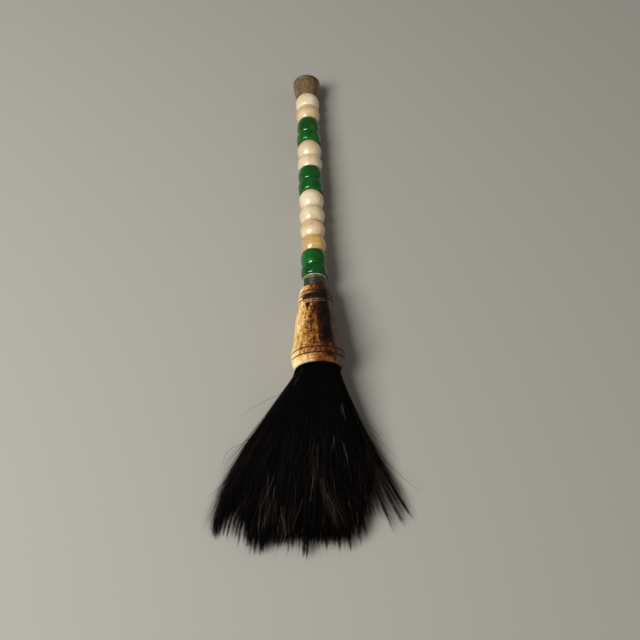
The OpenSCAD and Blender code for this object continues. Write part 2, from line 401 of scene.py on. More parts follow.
def ferrule_look():
    """Old turned bone under lacquer: ivory on the left, tea-brown in the middle, a near-black stain."""
    look = Look("ferrule_bone", 0.4, coat=0.04, coat_roughness=0.2, subsurface=0.05,
                radius_mm=(1.0, 0.6, 0.3))
    look.set("Specular IOR Level", 0.18)
    place = look.place()
    x, y, z = look.axes(place)
    turn = look.math("ARCTAN2", x, look.times(y, -1.0))
    flame = look.noise(place, 0.42, z=0.3, detail=6, roughness=0.62, distortion=0.4)
    flame = look.math("SUBTRACT", flame, 0.5)
    blotch = look.noise(place, 0.16, detail=5, roughness=0.6, distortion=0.8)
    worm = look.noise(place, 0.75, z=0.6, detail=4, roughness=0.62, distortion=1.4)
    worm = look.near(worm, 0.5, 0.0, 0.09)
    fleck = look.noise(place, 1.1, shift=(7, 3, 5), z=0.65, detail=3, roughness=0.6)
    fleck = look.step(fleck, 0.53, 0.6)
    fine = look.noise(place, 2.2, z=0.4, detail=4, roughness=0.7)
    # the wash of tea colour, from ivory on the left to brown on the right
    around = look.weigh((turn, 1.0), (flame, 1.3))
    wash = look.step(around, -1.35, 0.15, 0.06, 0.8)
    behind = look.step(look.math("ABSOLUTE", turn), 1.7, 2.5, 0.0, 0.3)
    spread = look.step(around, -1.3, -0.5, 0.35, 1.0)
    marks = look.times(look.weigh((worm, 0.26), (fleck, 0.42)), look.step(z, 3.0, 5.5, 0.3, 1.0))
    # painted highlight: the neck is paler on its left, where the light catches it
    painted_neck_highlight = look.times(look.step(z, 40.5, 43.5), look.step(turn, -1.0, -0.2, 1.0, 0.0))
    tone = look.weigh((wash, 1.0), (behind, 1.0), (look.times(marks, spread), 1.0),
                      (blotch, 0.7), (fine, 0.9), (painted_neck_highlight, -0.3), (1.0, -0.87))
    colour = look.ramp(tone, (0.0, 252, 230, 176), (0.2, 234, 194, 124),
                       (0.42, 200, 146, 74), (0.6, 156, 102, 38),
                       (0.8, 104, 58, 18), (1.0, 54, 24, 8))
    # the dark stain right of the middle, from the neck down, patchy below the first groove
    edge = look.weigh((turn, 1.0), (flame, 1.9), (fleck, 0.28), (look.step(z, 7.5, 11.5, 1.0, 0.0), -0.45))
    depth = look.weigh((z, 1.0), (flame, 9.0))
    stain = look.times(look.step(edge, -0.56, 0.5), look.step(turn, 1.9, 2.5, 1.0, 0.0))
    patch = look.step(blotch, 0.42, 0.56, 0.35, 0.9)
    stain = look.times(stain, look.math("MAXIMUM", look.step(depth, 7.5, 11.5), patch))
    stain = look.times(stain, look.step(depth, 40.0, 43.0, 1.0, 0.55))
    # the dark band above the raised lines
    band = look.times(look.step(z, 36.2, 36.9), look.step(depth, 38.8, 41.0, 1.0, 0.0))
    band = look.times(band, look.step(around, -1.1, -0.4))
    # a small wedge under the raised lines, left of the middle
    drop = look.math("SUBTRACT", RAISED_LINES[0] - 0.3, z)
    off = look.math("ABSOLUTE", look.weigh((turn, 1.0), (0.5, 1.0), (flame, 0.08)))
    wedge = look.math("SUBTRACT", off, look.step(drop, 0.0, 6.0, 0.15, 0.0))
    wedge = look.times(look.step(wedge, -0.04, 0.02, 0.8, 0.0), look.step(drop, 0.0, 0.3))
    wedge = look.times(wedge, look.step(drop, 4.2, 5.4, 1.0, 0.0))
    cells = look.add("TexVoronoi", {"Vector": look.stretch(place, z=0.5), "Scale": 0.55})
    specks = look.step(cells, 0.05, 0.17, 0.7, 0.0)
    specks = look.times(specks, look.step(look.noise(place, 0.3), 0.46, 0.56))
    for dark in (band, wedge, specks):
        stain = look.math("MAXIMUM", stain, dark)
    stain = look.weigh((stain, 1.0), (look.times(fleck, look.step(turn, 0.0, 0.9, 1.0, 0.0)), -0.16))
    colour = look.mix(look.step(stain, 0.1, 0.62), colour, (56, 22, 7))
    colour = look.mix(look.step(stain, 0.55, 0.98), colour, (13, 6, 4))
    # painted sheen: greyish reflected light on the far right of the stain
    grey = look.times(look.step(look.weigh((turn, 1.0), (flame, 0.3)), 0.56, 0.8, 0.0, 0.9),
                     look.step(blotch, 0.3, 0.5, 0.55, 1.0))
    grey = look.times(grey, look.step(turn, 1.8, 2.3, 1.0, 0.0))
    colour = look.mix(look.times(grey, look.step(stain, 0.3, 0.8)), colour, (102, 82, 68))
    # a brown edge on the far left under the raised lines
    left = look.times(look.near(z, 33.0, 2.0, 5.0), look.near(turn, -1.6, 0.3, 0.62, 0.6))
    colour = look.mix(left, colour, (116, 66, 26))
    # dirt in the turned grooves
    dirt = 0.0
    for height, _, half_width in FERRULE_GROOVES:
        dirt = look.math("MAXIMUM", look.near(z, height, half_width * 0.4, half_width * 1.1, 0.9), dirt)
    colour = look.mix(dirt, colour, (30, 14, 6))
    # painted highlight: whitish light caught on the lip and the raised lines
    painted_highlight = look.times(look.near(z, 0.3, 0.3, 0.9), look.step(look.noise(place, 0.3), 0.36, 0.5))
    painted_highlight = look.times(painted_highlight, look.near(turn, -0.52, 0.12, 0.4, 0.75))
    for height in RAISED_LINES:
        # painted highlight on each raised line, fading towards the right, away from the light
        line = look.times(look.near(z, height, 0.05, 0.2, 0.29), look.step(turn, 0.0, 0.8, 1.0, 0.2))
        painted_highlight = look.math("MAXIMUM", painted_highlight, line)
    colour = look.mix(painted_highlight, colour, (206, 194, 176))
    rough = look.weigh((look.step(fine, 0.3, 0.8, 0.3, 0.52), 1.0), (look.math("MAXIMUM", dirt, band), 0.35))
    normal = look.bump(fine, 0.05, 0.8)
    return look.finish(colour, rough, look.bump(marks, 0.15, 0.7, normal))


COLLAR_GROOVES = tuple((FERRULE_TOP + (COLLAR_TOP - FERRULE_TOP) * k, 0.34, 0.4) for k in (0.2, 0.45, 0.7))


def collar_look():
    """Dark mottled horn, darker in its turned rings, with a painted highlight along its top edge."""
    look = Look("collar_horn", 0.34, coat=0.15, coat_roughness=0.2)
    place = look.place()
    z = look.axes(place)[2]
    mottle = look.noise(place, 0.5, z=1.8, detail=6, roughness=0.7, distortion=0.9)
    colour = look.ramp(mottle, (0.36, 20, 18, 12), (0.5, 54, 50, 36),
                       (0.62, 82, 76, 59), (0.76, 120, 110, 87))
    for height, _, half_width in COLLAR_GROOVES:
        colour = look.mix(look.near(z, height, half_width * 0.4, half_width, 0.85), colour, (16, 14, 9))
    # painted highlight: a pale greenish rim of reflected light just under the collar's top edge
    pale = look.near(z, COLLAR_TOP - 0.8, 0.2, 0.5, 0.6)
    colour = look.mix(look.times(pale, look.step(mottle, 0.4, 0.6)), colour, (150, 150, 116))
    return look.finish(colour, look.step(mottle, 0.3, 0.8, 0.25, 0.5), look.bump(mottle, 0.15, 0.8))


def rim_look():
    """The thin pale ring, greenish ivory."""
    look = Look("rim_ivory", 0.28, coat=0.4, subsurface=0.2, radius_mm=(1, 1, 0.6))
    cloud = look.noise(look.place(), 0.35, detail=4)
    return look.finish_with(cloud, (0.35, 140, 152, 112), (0.6, 192, 202, 164), (0.2, 0.36), 0.02)


CAP_RING = CAP_END - 1.8


def cap_look():
    """Mottled brown wood, polished by handling, darker at its rim."""
    look = Look("cap_wood", 0.4, coat=0.25, coat_roughness=0.25)
    place = look.place()
    x, _, z = look.axes(place)
    grain = look.noise(place, 0.9, z=0.3, detail=6, roughness=0.65, distortion=0.4)
    mottle = look.noise(place, 0.24, detail=5, roughness=0.6, distortion=1.1)
    colour = look.ramp(mottle, (0.32, 74, 54, 30), (0.5, 112, 90, 58),
                       (0.68, 136, 112, 76))
    red = look.step(look.noise(place, 0.3, shift=(17, 3, 8), detail=4), 0.48, 0.66, 0.0, 0.7)
    red = look.times(red, look.step(x, -1.0, 3.0, 1.0, 0.3))
    colour = look.mix(red, colour, (112, 62, 40))
    colour = look.mix(look.step(grain, 0.45, 0.75, 0.0, 0.5), colour, (44, 30, 16))
    # painted shade: darker towards the brush's right side, away from the light
    colour = look.mix(look.step(x, 2.0, 7.0, 0.0, 0.5), colour, (52, 38, 22))
    dark = look.math("MAXIMUM", look.near(z, CAP_RING, 0.2, 0.5, 0.6),
                     look.step(z, CAP_END - 1.1, CAP_END - 0.5, 0.0, 0.8))
    colour = look.mix(dark, colour, (36, 24, 13))
    return look.finish(colour, look.step(grain, 0.3, 0.8, 0.3, 0.55), look.bump(grain, 0.08, 0.8))


def bamboo_look():
    look = Look("rod_bamboo", 0.55)
    fibre = look.noise(look.place(), 1.0, x=4, y=4, z=0.12, detail=5)
    return look.finish_with(fibre, (0.3, 150, 112, 62), (0.7, 212, 180, 122), (0.45, 0.65), 0.05)


def resin_look():
    look = Look("resin", 0.25, coat=0.3, subsurface=0.3, radius_mm=(2, 0.8, 0.2))
    cloud = look.noise(look.place(), 0.5, detail=5, distortion=0.8)
    return look.finish_with(cloud, (0.3, 96, 52, 12), (0.7, 168, 104, 34), (0.18, 0.35), 0.1)


def thread_look():
    look = Look("binding_thread", 0.8)
    x, y, z = look.axes(look.place())
    twist = look.math("SINE", look.weigh((look.math("ARCTAN2", y, x), 90), (z, 7)))
    colour = look.mix(look.step(twist, -1, 1), (96, 18, 14), (168, 44, 32))
    return look.finish(colour, look.step(twist, -1, 1, 0.7, 0.9), look.bump(twist, 0.05))


def core_look():
    """The shaded inside of the tuft: near-black, streaked the way the hair runs."""
    look = Look("hair_core", 0.6)
    look.set("Specular IOR Level", 0.05)
    streak = look.noise(look.place(), 1.0, x=2.4, y=2.4, z=0.1, detail=5)
    return look.finish_with(streak, (0.4, 4, 3, 3), (0.75, 14, 10, 9), (0.5, 0.75), 0.3)


# The tones of hair: colour, roughness and how strongly it shines. The tuft mixes them strand by strand.
HAIR_TONES = {
    "black": (srgb(3, 3, 3), 0.5, 0.03), "warm_black": (srgb(11, 8, 7), 0.45, 0.06),
    "brown": (srgb(36, 25, 19), 0.45, 0.14), "red_brown": (srgb(48, 26, 20), 0.45, 0.2),
    "grey": (srgb(86, 77, 70), 0.4, 0.4),
}
TONE_NUMBER = {name: number for number, name in enumerate(HAIR_TONES)}


def hair_looks():
    looks = []
    for name, (colour, roughness, shine) in HAIR_TONES.items():
        look = Look("hair_" + name, roughness)
        look.set("Base Color", colour)
        look.set("Specular IOR Level", shine)
        looks.append(look.material)
    return looks


# ---- relief, in millimetres


def noise_at(points, scale, octaves=1):
    """Smooth noise from about -1 to 1 at each point, the same each run."""
    scaled = np.asarray(points) * scale
    if octaves == 1:
        return np.array([noise.noise(p) for p in scaled])
    return np.array([noise.fractal(p, 0.9, 2.1, octaves) for p in scaled])


def grooves(z, places):
    """Round-bottomed grooves at (height, depth, half width)."""
    cut = np.zeros(len(z))
    for height, depth, half_width in places:
        cut -= depth * np.clip(1 - ((z - height) / half_width) ** 2, 0, 1)
    return cut


def on_side(outward):
    """1 on the outside of a turned piece, fading to 0 on its ends and in its hole."""
    return np.clip(outward[:, 0] * 3, 0, 1)


def bone_relief(points, outward):
    """Grooves, raised lines, pits, the long fibres of the bone and the swelling between neck grooves."""
    z = points[:, 2]
    push = grooves(z, FERRULE_GROOVES) - grooves(z, [(height, 0.24, 0.42) for height in RAISED_LINES])
    push += 0.06 * noise_at(points, 0.12) + 0.035 * noise_at(points * [1.5, 1.5, 0.2], 1.0, 4)
    pits = noise_at(points * [1.0, 1.0, 0.55] + 40, 0.95)
    push -= 0.15 * np.clip((pits - 0.45) / 0.3, 0, 1) ** 2
    heights = [height for height, _, _ in FERRULE_GROOVES[2:]]
    for low, high in zip(heights, heights[1:]):
        push += 0.14 * np.clip(1 - ((z - (low + high) / 2) / ((high - low) / 2)) ** 2, 0, 1)
    return push * on_side(outward)


def wood_relief(points, outward):
    push = grooves(points[:, 2], [(CAP_RING, 0.3, 0.4)])
    push += 0.05 * noise_at(points, 0.25, 3) + 0.02 * noise_at(points * [1.6, 1.6, 0.3], 1.0, 3)
    return push * on_side(outward)


def horn_relief(points, outward):
    push = grooves(points[:, 2], COLLAR_GROOVES) + 0.04 * noise_at(points, 1.2, 3)
    return push * on_side(outward)


def stone_relief(points, outward):
    """Barely uneven hand polish, fading to nothing at the bead's ends."""
    return 0.035 * noise_at(points, 0.22) * np.clip(outward[:, 0], 0, 1) ** 2


# ---- turned pieces, in millimetres

ROD_R = 2.0
BEAD_HOLE_R = 2.05
BEAD_ARC_R = {"cream": 8.0, "green": 13.0}
BEAD_EDGE_R = {"cream": 0.45, "green": 1.0}
HOLE_EDGE_R = 0.45
COLLAR_R = 6.0
RIM_R = 6.2
ROD_END_DEPTH = 7.9  # of the rod's end in the cap


def bead_outline(radius, arc_r, edge_r, middle, half):
    """Once round the wall of a bead, whose side is an arc: side, upper end, hole and lower end."""
    centre_r = radius - arc_r
    edge_z = half - edge_r
    edge_x = centre_r + math.sqrt((arc_r - edge_r) ** 2 - edge_z**2)
    swing = math.degrees(math.atan2(edge_z, edge_x - centre_r))
    side = arc((centre_r, middle), arc_r, -swing, swing, 44)
    edge = arc((edge_x, middle + edge_z), edge_r, swing, 90, 10)[1:]
    upper = np.array([
        *edge, [BEAD_HOLE_R + 1.6, middle + half],
        *arc((BEAD_HOLE_R + HOLE_EDGE_R, middle + half - HOLE_EDGE_R), HOLE_EDGE_R, 90, 180, 5),
        [BEAD_HOLE_R, middle + half * 0.5],
    ])
    lower = [0, 2 * middle] + upper[::-1] * [1, -1]
    return [side, upper, [[BEAD_HOLE_R, middle]], lower]


def show_turned(node, outline, segments, material, slot, relief=None, closed=True, body="brush"):
    """Turns the parts of an outline as one, to stand for the node."""
    piece = turned("turned_" + node, np.vstack(outline), segments, [material], relief, closed)
    show(piece, body, slot, node)


def make_beads():
    for node in joint_of:
        colour, _, number = node.partition("_bead_")
        number = int(number)
        low, high, radius = on_axis(node, MOUTH)
        middle, half = (low + high) / 2, (high - low) / 2
        if colour == "green":
            material, slot = green_look(number, middle), "green_bead"
        elif number == 8:
            material, slot = amber_look(middle), "amber_bead"
        else:
            material, slot = cream_look(number, middle), "cream_bead"
        outline = bead_outline(radius, BEAD_ARC_R[colour], BEAD_EDGE_R[colour], middle, half)
        show_turned(node, outline, 96, material, slot, stone_relief, body=node)


# The ferrule's outside from the lip to the neck, [radius, height]
BELL = (
    (10.8, 0.35), (11.6, 0.02), (12.45, 0.5), (13.1, 1.9), (13.58, 3.9), (13.79, 5.5), (13.8, 6.5),
    (13.72, 8.5), (13.45, 10.0), (13.0, 11.5), (12.5, 13.3), (12.2, 15.5), (11.8, 19.9), (11.33, 24.5),
    (10.77, 28.7), (10.15, 32.4), (9.42, 36.6), (9.15, 39.4), (8.82, 41.7), (8.4, 43.5), (7.85, 44.9),
    (7.2, 45.8), (6.45, 46.25),
)
SOCKET_R = 10.5
SOCKET_DEPTH = 26.0


def make_ferrule():
    outside = smooth_curve([(SOCKET_R, 1.1), *BELL], 0.19)
    neck = [(r, FERRULE_TOP) for r in (5.9, 4.0, ROD_R)] + [(ROD_R, z) for z in (40.0, 33.0, SOCKET_DEPTH)]
    socket = [(r, SOCKET_DEPTH) for r in (4.0, 7.0, 10.0)]
    socket += [(SOCKET_R, z) for z in np.linspace(SOCKET_DEPTH - 0.5, 2.5, 12)]
    show_turned("ferrule", [outside, neck, socket], 256, ferrule_look(), "ferrule_bone", bone_relief)


def make_collar():
    gap, edge = 0.02, 0.12
    low, high = FERRULE_TOP + gap, COLLAR_TOP - gap
    side = [(COLLAR_R - edge, low), *[(COLLAR_R, z) for z in np.arange(low + edge, high - 0.08, 0.1)],
            (COLLAR_R - edge, high)]
    inside = [(5.0, high), (ROD_R, high), (ROD_R, (low + high) / 2), (ROD_R, low), (5.0, low)]
    show_turned("neck_collar", [side, inside], 160, collar_look(), "collar_horn", horn_relief)


def make_rim():
    low, high = COLLAR_TOP, RIM_TOP
    nose_r = (high - low) / 2
    nose = arc((RIM_R - nose_r, low + nose_r), nose_r, -90, 90, 12)
    inside = [(4.5, high), (ROD_R, high), (ROD_R, low), (4.5, low)]
    show_turned("collar_rim", [nose, inside], 128, rim_look(), "rim_horn")


def make_cap():
    start, length, hole_end = CAP_START, CAP_END - CAP_START, CAP_START + ROD_END_DEPTH
    side = smooth_curve([
        (5.9, start), (6.25, start + 0.1), (6.38, start + 0.5), (7.25, start + length * 0.25),
        (7.9, start + length * 0.5), (8.16, start + length * 0.75), (8.23, CAP_RING),
        (8.25, CAP_END - 0.8), (8.05, CAP_END - 0.22), (7.5, CAP_END - 0.02),
    ], 0.12)
    top = [(r, CAP_END) for r in (6.0, 4.0, 2.0, 0.0)]
    hole = [(r, hole_end) for r in (0.0, 1.4, ROD_R)] + [(ROD_R, start + 4), (ROD_R, start), (4.0, start)]
    show_turned("end_cap", [hole, side, top], 160, cap_look(), "cap_wood", wood_relief, closed=False)


# ---- hair, in millimetres

HAIR_LENGTH = 90.0
ROOT_R = 10.45
TIP_THICKNESS = 7.0
FLOOR_CLEARANCE = 0.12
# Control points of the left edge, the middle and the right edge of the fan:
# [reach beyond the mouth, offset from the axis]
LEFT_EDGE = np.array([[0, -ROOT_R], [22, -26], [56, -52.5], [81, -53.5]])
FAN_MIDDLE = np.array([[0, 0], [28, -2], [60, -6], [HAIR_LENGTH, -8]])
RIGHT_EDGE = np.array([[0, ROOT_R], [25, 19], [50, 29], [76.5, 46]])
# Right of this place across the fan most hairs lean back, and only thin locks reach the edge
DENSE_EDGE = 0.5
# Where the dense hair ends: places across the fan, and the share of the length at each
FRINGE = (
    (-1.0, -0.95, -0.88, -0.8, -0.7, -0.6, -0.5, -0.38, -0.2, 0.0, 0.13, 0.31, 0.44, 0.55, 0.65, 0.8, 1.0),
    (0.9, 0.86, 0.79, 0.77, 0.81, 0.91, 0.93, 0.895, 0.88, 0.88, 0.9, 0.915, 0.905, 0.87, 0.81, 0.73, 0.66),
)


def smooth(x):
    x = np.clip(x, 0, 1)
    return x * x * (3 - 2 * x)


def rise(u):
    return np.sqrt(np.clip(1 - u**2, 0, None))


def fan_point(u, w, t):
    """[reach, offset, height] of hairs rooted at (u, w) of the round root, at share t of their length."""
    u, w, t = (a[..., None] for a in np.broadcast_arrays(u, w, t))
    plan = [
        FAN_MIDDLE[k] + u * (RIGHT_EDGE[k] - LEFT_EDGE[k]) / 2
        + u**2 * ((RIGHT_EDGE[k] + LEFT_EDGE[k]) / 2 - FAN_MIDDLE[k])
        for k in range(4)
    ]
    plan[0] = np.concatenate([0 * u, ROOT_R * u], axis=-1)
    dome = w + rise(u)
    heights = [MOUTH.z / MM + ROOT_R * w, 12.5 + 11.5 * w - 4 * u**2, 8.5 * dome, TIP_THICKNESS / 2 * dome]
    a, b, c, d = (np.concatenate([p, h], axis=-1) for p, h in zip(plan, heights))
    inside, t = np.clip(t, None, 0), np.clip(t, 0, None)
    curve = (1 - t) ** 3 * a + 3 * (1 - t) ** 2 * t * b + 3 * (1 - t) * t**2 * c + t**3 * d
    return curve + inside * HAIR_LENGTH * np.array([1, 0, math.tan(DIP)])


def lean(u, t, share=0.8):
    """Where hairs right of the dense edge lie by share t of their length."""
    return u - share * np.clip(u - DENSE_EDGE, 0, None) * smooth((t - 0.45) / 0.5)


def fan_to_row(points):
    """From reach, offset and height to the row frame, in metres."""
    points = points * [1, 1, 1]
    points[..., 2] = np.maximum(points[..., 2], FLOOR_CLEARANCE)
    reach, offset, height = points[..., 0], points[..., 1], points[..., 2]
    return np.stack([MOUTH.x + offset * MM, MOUTH.y - reach * MM, height * MM], axis=-1)


def strand_mesh(name, paths, radius, tones, tip_tones, looks):
    """Tapered three-sided tubes along paths (strands, steps, 3), closed at both ends.

    radius is each strand's, in millimetres. The outer third takes the tip tone.
    """
    sides = 3
    count, steps, _ = paths.shape
    paths = fan_to_row(paths)
    taper = np.interp(np.linspace(0, 1, steps), [0, 0.5, 0.85, 1], [1, 0.95, 0.6, 0.25])
    tangent = np.gradient(paths, axis=1)
    tangent /= np.maximum(np.linalg.norm(tangent, axis=2, keepdims=True), 1e-12)
    across = np.cross(tangent, [0, 0, 1.0])
    across /= np.maximum(np.linalg.norm(across, axis=2, keepdims=True), 1e-12)
    above = np.cross(across, tangent)
    size = (radius[:, None] * taper * MM)[:, :, None]
    rings = np.stack([
        paths + size * (across * math.cos(angle) + above * math.sin(angle))
        for angle in (math.pi / 2 + 2 * math.pi * k / sides for k in range(sides))
    ], axis=2)[:, :-1]
    points = np.concatenate([rings.reshape(count, -1, 3), paths[:, -1:]], axis=1)
    last, tip = (steps - 2) * sides, (steps - 1) * sides
    quads = bands(steps - 1, sides, False)
    ends = np.array([[last + k, last + (k + 1) % sides, tip] for k in range(sides)] + [[2, 1, 0]])
    start = (np.arange(count) * (tip + 1))[:, None, None]
    outer = np.repeat(np.arange(steps - 2) >= (steps - 2) * 2 // 3, sides)
    quad_tones = np.where(outer[None, :], tip_tones[:, None], tones[:, None])
    end_tones = np.repeat(tip_tones, sides + 1)
    faces = [(quads[None] + start).reshape(-1, 4), (ends[None] + start).reshape(-1, 3)]
    tone = np.concatenate([quad_tones.ravel(), end_tones])
    piece = new_piece(name, points.reshape(-1, 3), faces, looks, tone)
    show(piece, "brush", "black_hair", "hair_tuft")


def pick_tones(rng, u, names_and_shares):
    names, shares = zip(*names_and_shares)
    return rng.choice([TONE_NUMBER[name] for name in names], len(u), p=shares)


LOCK_BATCHES, HAIRS_PER_BATCH = 10, 1900
SMALL_POINTS, CURLS, FLYAWAYS = 330, 1100, 900
STRAND_SHARE = np.linspace(0, 1, 18)
CLOSER_AT_ROOT = STRAND_SHARE**0.8
ROOT_DEPTH = 0.05  # how far inside the mouth a strand starts, as a share of the length


def from_root(reach, share):
    """The shares of the length along a strand that ends at reach."""
    return -ROOT_DEPTH + (reach + ROOT_DEPTH) * share


def make_locks(rng):
    """Places of the locks that hairs gather into: small locks, and the big locks they belong to."""
    big_count, small_count = 64, 420
    big_u, small_u = rng.uniform(-1, 1, big_count), rng.uniform(-1, 1, small_count)
    big_w = rng.uniform(-1, 1, big_count) * rise(big_u)
    small_w = rng.uniform(-1, 1, small_count) * rise(small_u)
    home = np.argmin((small_u[:, None] - big_u) ** 2 + 0.12 * (small_w[:, None] - big_w) ** 2, axis=1)
    return {
        "u": small_u, "w": small_w, "big_u": big_u[home], "big_w": big_w[home],
        "pull": rng.uniform(0.45, 0.95, small_count),
        "reach": np.minimum(rng.normal(1, 0.022, big_count)[home] * rng.normal(1, 0.036, small_count), 1.025),
        "sway": rng.normal(0, 0.018, small_count) + rng.normal(0, 0.014, big_count)[home],
        "phase": rng.uniform(0, 2 * math.pi, big_count)[home] + rng.normal(0, 0.8, small_count),
    }


def waves(rng, along, amount, slowest, fastest):
    """A wave of its own for each row of along, of random height, pace and phase."""
    count = len(along)
    return rng.normal(0, amount, (count, 1)) * np.sin(
        along * rng.uniform(slowest, fastest, (count, 1)) + rng.uniform(0, 2 * math.pi, (count, 1)))


def lock_hair(rng, locks, count, name, looks):
    """Hairs that gather into small locks and those into big ones, towards their tips."""
    radius, angle = np.sqrt(rng.uniform(0, 1, count)), rng.uniform(0, 2 * math.pi, count)
    u, w = radius * np.cos(angle), radius * np.sin(angle)
    on_top = rng.uniform(0, 1, count) < 0.5
    w = np.where(on_top, rise(u) * (1 - 0.3 * rng.uniform(0, 1, count) ** 1.5), w)
    home = np.argmin((u[:, None] - locks["u"]) ** 2 + 0.12 * (w[:, None] - locks["w"]) ** 2, axis=1)
    lock = {key: value[home][:, None] for key, value in locks.items()}
    u, w = u[:, None], w[:, None]
    # most hairs end at the fringe, a few go on
    reach = np.interp(u[:, 0], *FRINGE) + rng.normal(0, 0.022, count)
    going_on = rng.uniform(0, 1, count) < 0.03
    reach = reach + going_on * rng.uniform(0, 0.09, count)
    short = rng.uniform(0, 1, count) < 0.2
    reach = np.where(short, rng.uniform(0.5, 0.9, count), reach) * lock["reach"][:, 0]
    reach = np.clip(reach, 0.3, 1.045)
    t = from_root(reach[:, None], CLOSER_AT_ROOT)
    outer = np.clip((u - 0.6) / 0.3, 0, 1)
    gather = lock["pull"] * smooth((t - 0.15) / 0.85) * (1 - 0.5 * outer)
    unite = 0.5 * smooth((t - 0.45) / 0.55)
    centre_u = lock["u"] + (lock["big_u"] - lock["u"]) * unite
    centre_w = lock["w"] + (lock["big_w"] - lock["w"]) * unite
    bend = np.clip(t, 0, None)
    strays = (rng.uniform(0, 1, (count, 1)) < 0.1) * rng.normal(0, 0.07, (count, 1)) * bend**2
    frizz = rng.normal(0, 0.007, (count, 1)) * smooth((t - 0.6) / 0.4)
    path_u = u + (centre_u - u) * gather + lock["sway"] * np.sin(bend * 5 + lock["phase"]) * bend
    path_u = path_u + waves(rng, bend, 0.008, 3, 12) * bend + waves(rng, bend, 0.005, 20, 40) * bend**2
    # nearly all hairs lean in from the right edge
    leaning = rng.uniform(0, 1, (count, 1))
    leaning = np.where(leaning < 0.93, rng.normal(0.6, 0.08, (count, 1)), rng.uniform(0, 0.6, (count, 1)))
    path_u = lean(path_u + strays + frizz, t, leaning)
    path_w = w + (centre_w - w) * gather * 0.7
    path_w = np.clip(path_w, -rise(path_u), rise(path_u))
    paths = fan_point(path_u, path_w, t)
    paths[..., 2] += waves(rng, bend, 0.5, 2, 7) * bend**2
    thick = rng.uniform(0.055, 0.1, count) * np.where(going_on, 0.75, 1)
    tones = pick_tones(rng, u, (("black", 0.97), ("warm_black", 0.03)))
    tips = pick_tones(rng, u, (("black", 0.87), ("warm_black", 0.1), ("brown", 0.02), ("red_brown", 0.01)))
    reddish = (u[:, 0] > 0.62) & (leaning[:, 0] < 0.4) & (rng.uniform(0, 1, count) < 0.6)
    tips = np.where(reddish, TONE_NUMBER["red_brown"], tips)
    strand_mesh(name, paths, thick, tones, tips, looks)


# Where the longest locks end: place across the fan, share of the length, and how many hairs
POINTS = (
    (-0.99, 0.99, 50), (-0.96, 1.0, 40), (-0.93, 0.97, 34), (-0.88, 0.96, 28), (-0.84, 0.98, 24),
    (-0.79, 0.95, 26), (-0.75, 0.97, 24), (-0.71, 0.99, 30), (-0.66, 0.97, 30), (-0.61, 0.99, 70),
    (-0.53, 1.01, 90), (-0.46, 1.0, 60), (-0.3, 0.97, 60), (-0.16, 0.97, 50), (-0.035, 1.01, 90),
    (-0.005, 1.03, 50),
    (0.09, 0.96, 50), (0.18, 0.99, 76), (0.3, 1.01, 76), (0.4, 1.02, 76), (0.5, 1.01, 56), (0.56, 0.98, 34),
    (0.62, 0.93, 18), (0.69, 0.9, 16), (0.75, 0.94, 14), (0.8, 1.0, 60), (0.84, 0.94, 16), (0.9, 1.0, 54),
    (0.95, 0.95, 14), (1.0, 0.98, 44),
)


def make_points(rng, looks):
    """The locks that reach furthest, each drawn together towards its own end, and small ones between."""
    small = rng.uniform(-0.98, 0.66, SMALL_POINTS)
    small_end = np.interp(small, *FRINGE) + rng.normal(0.045, 0.03, len(small))
    rows = [*POINTS, *zip(small, small_end, rng.integers(3, 13, len(small)))]
    place, end, number = (np.repeat([row[k] for row in rows], [row[2] for row in rows]) for k in range(3))
    count = len(place)
    place, end = place[:, None], end[:, None]
    start_u = place + rng.normal(0, 0.05, (count, 1)) * (1 - 0.7 * (place > DENSE_EDGE))
    start_u = np.clip(start_u, -1, 1)
    outer = place > 0.6
    reach = end - np.abs(rng.normal(0, 0.035 + 0.03 * outer))
    t = from_root(reach, CLOSER_AT_ROOT)
    end_u = place + rng.normal(0, 0.006 + 0.002 * outer)
    bend = np.clip(t, 0, None)
    path_u = start_u + (end_u - start_u) * smooth((t - 0.2) / 0.75)
    path_u = path_u + waves(rng, bend, 0.01, 3, 12) * bend + waves(rng, bend, 0.005, 20, 45) * bend**2
    w = rng.uniform(-0.3, 0.95, (count, 1)) * rise(start_u)
    path = fan_point(path_u, np.clip(w, -rise(path_u), rise(path_u)), t)
    path[..., 2] += waves(rng, bend, 0.4, 2, 7) * bend**2
    tones = pick_tones(rng, place, (("black", 0.9), ("warm_black", 0.1)))
    tips = pick_tones(rng, place, (("black", 0.6), ("warm_black", 0.25), ("brown", 0.1), ("red_brown", 0.05)))
    reddish = outer[:, 0] & (rng.uniform(0, 1, count) < 0.55)
    tips = np.where(reddish, TONE_NUMBER["red_brown"], tips)
    radius = rng.uniform(0.08, 0.15, count) * (1 - 0.25 * outer[:, 0])
    for batch, some in enumerate(np.array_split(np.arange(count), 3), 1):
        strand_mesh(f"hair_points_{batch}", path[some], radius[some], tones[some], tips[some], looks)


